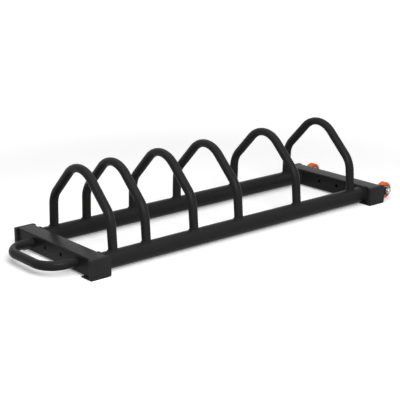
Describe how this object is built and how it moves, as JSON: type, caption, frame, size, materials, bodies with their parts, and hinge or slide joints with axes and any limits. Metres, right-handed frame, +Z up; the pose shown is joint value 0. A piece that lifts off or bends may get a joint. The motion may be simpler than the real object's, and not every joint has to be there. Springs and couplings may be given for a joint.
{
  "type": "wheeled bumper plate rack",
  "caption": "Low tubular floor rack that holds bumper plates upright between arched hoops, with a carry handle at one end and small wheels at the other.",
  "frame": {"origin": "on the floor, under the middle of the rack's overall box", "axes": "+X runs from the handle end to the wheel end, +Z is up, and the front is -Y"},
  "size_m": [1.3126, 0.4008, 0.2696],
  "materials": {
    "powder_coat": "satin black powder coat on steel",
    "moulded_plastic": "black moulded plastic with a fine matte grain",
    "orange_urethane": "smooth orange polyurethane",
    "core_nylon": "black moulded nylon",
    "bearing_steel": "ground bearing steel",
    "seal_rubber": "dark blue moulded rubber seal",
    "zinc_plate": "bright zinc-plated steel"
  },
  "bodies": {
    "frame": {"back_axle_bolt": "zinc_plate", "back_axle_nut": "zinc_plate", "back_bearing_spacer": "zinc_plate", "back_head_washer": "zinc_plate", "back_inboard_bearing_inner_ring": "bearing_steel", "back_inner_collar": "zinc_plate", "back_inner_ear": "powder_coat", "back_nut_washer": "zinc_plate", "back_outboard_bearing_inner_ring": "bearing_steel", "back_outer_collar": "zinc_plate", "back_outer_ear": "powder_coat", "back_rail": "powder_coat", "carry_handle": "powder_coat", "front_axle_bolt": "zinc_plate", "front_axle_nut": "zinc_plate", "front_bearing_spacer": "zinc_plate", "front_head_washer": "zinc_plate", "front_inboard_bearing_inner_ring": "bearing_steel", "front_inner_collar": "zinc_plate", "front_inner_ear": "powder_coat", "front_nut_washer": "zinc_plate", "front_outboard_bearing_inner_ring": "bearing_steel", "front_outer_collar": "zinc_plate", "front_outer_ear": "powder_coat", "front_rail": "powder_coat", "handle_beam": "powder_coat", "handle_cap_back": "moulded_plastic", "handle_cap_front": "moulded_plastic", "hoop_1": "powder_coat", "hoop_2": "powder_coat", "hoop_3": "powder_coat", "hoop_4": "powder_coat", "hoop_5": "powder_coat", "hoop_6": "powder_coat", "wheel_beam": "powder_coat", "wheel_cap_back": "moulded_plastic", "wheel_cap_front": "moulded_plastic"},
    "front_wheel": {"front_inboard_bearing_inner_seal": "seal_rubber", "front_inboard_bearing_outer_ring": "bearing_steel", "front_inboard_bearing_outer_seal": "seal_rubber", "front_outboard_bearing_inner_seal": "seal_rubber", "front_outboard_bearing_outer_ring": "bearing_steel", "front_outboard_bearing_outer_seal": "seal_rubber", "front_wheel_core": "core_nylon", "front_wheel_tyre": "orange_urethane"},
    "front_ball_cages": {"front_inboard_bearing_ball_cage": "bearing_steel", "front_outboard_bearing_ball_cage": "bearing_steel"},
    "back_wheel": {"back_inboard_bearing_inner_seal": "seal_rubber", "back_inboard_bearing_outer_ring": "bearing_steel", "back_inboard_bearing_outer_seal": "seal_rubber", "back_outboard_bearing_inner_seal": "seal_rubber", "back_outboard_bearing_outer_ring": "bearing_steel", "back_outboard_bearing_outer_seal": "seal_rubber", "back_wheel_core": "core_nylon", "back_wheel_tyre": "orange_urethane"},
    "back_ball_cages": {"back_inboard_bearing_ball_cage": "bearing_steel", "back_outboard_bearing_ball_cage": "bearing_steel"}
  },
  "joints": [
    {"name": "front_wheel_spin", "type": "hinge", "parent": "frame", "child": "front_wheel", "pos_m": [0.6303, -0.1676, 0.032], "axis": [0, 1, 0], "continuous": true},
    {"name": "front_ball_cages_orbit", "type": "hinge", "parent": "frame", "child": "front_ball_cages", "pos_m": [0.6303, -0.1676, 0.032], "axis": [0, 1, 0], "continuous": true},
    {"name": "back_wheel_spin", "type": "hinge", "parent": "frame", "child": "back_wheel", "pos_m": [0.6303, 0.1676, 0.032], "axis": [0, 1, 0], "continuous": true},
    {"name": "back_ball_cages_orbit", "type": "hinge", "parent": "frame", "child": "back_ball_cages", "pos_m": [0.6303, 0.1676, 0.032], "axis": [0, 1, 0], "continuous": true}
  ],
  "couplings": [
    {"joint": "front_ball_cages_orbit", "follows": "front_wheel_spin", "ratio": 0.6298},
    {"joint": "back_ball_cages_orbit", "follows": "back_wheel_spin", "ratio": 0.6298}
  ]
}
